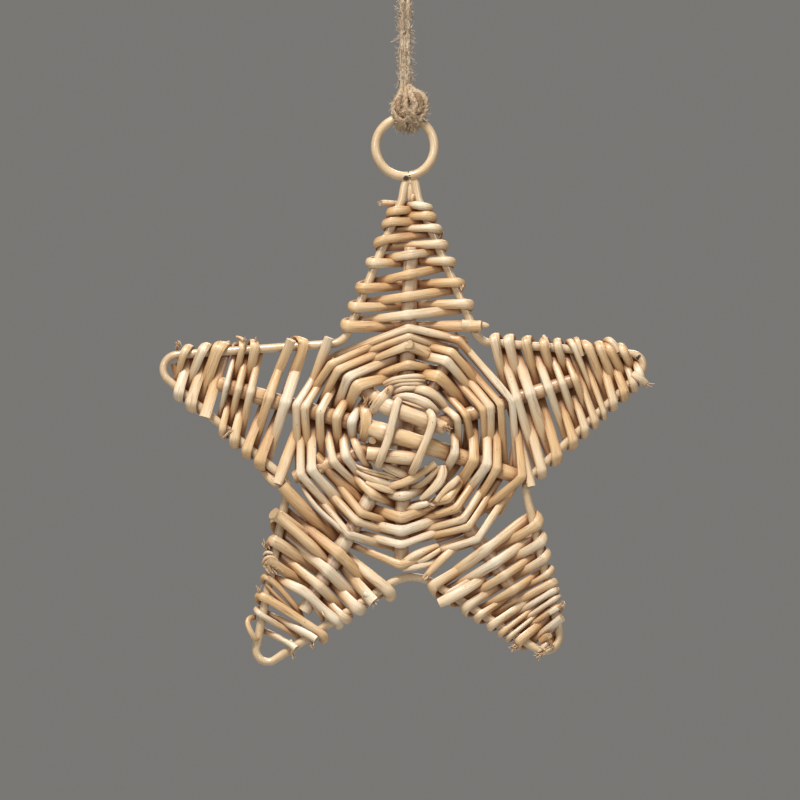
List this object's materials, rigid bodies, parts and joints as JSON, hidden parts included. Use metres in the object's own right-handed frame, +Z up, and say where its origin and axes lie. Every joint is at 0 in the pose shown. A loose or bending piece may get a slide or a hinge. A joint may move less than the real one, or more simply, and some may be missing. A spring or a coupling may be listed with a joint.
{
  "type": "woven star hanging ornament",
  "caption": "Star of peeled willow rods woven on a coated wire outline, with a small wire ring and a jute twine loop on top for hanging.",
  "frame": {"origin": "the hanging point, where the inside of the twine loop's top rests on what carries it", "axes": "+Z up, the star in the XZ plane, its front facing -Y"},
  "size_m": [0.2051, 0.0224, 0.2958],
  "materials": {
    "coated_wire": "satin beige coating",
    "peeled_willow": "bare peeled willow, satin",
    "jute_twine": "rough jute twine"
  },
  "bodies": {
    "root": {"star_frame": "coated_wire", "hanging_ring": "coated_wire", "spoke_upright": "peeled_willow", "spoke_left_arm": "peeled_willow", "spoke_right_arm": "peeled_willow", "spoke_upper_left": "peeled_willow", "spoke_short": "peeled_willow", "spoke_upper_right": "peeled_willow", "spoke_lower_left": "peeled_willow", "spoke_lower_right": "peeled_willow", "arm_weave_top": "peeled_willow", "arm_weave_left": "peeled_willow", "arm_weave_lower_left": "peeled_willow", "arm_weave_lower_right": "peeled_willow", "arm_weave_right": "peeled_willow", "centre_weaver_1": "peeled_willow", "centre_weaver_2": "peeled_willow", "binding_left": "peeled_willow", "binding_right": "peeled_willow", "butt_inner": "peeled_willow", "butt_outer": "peeled_willow", "twine_knot": "jute_twine", "twine": "jute_twine"}
  },
  "joints": []
}
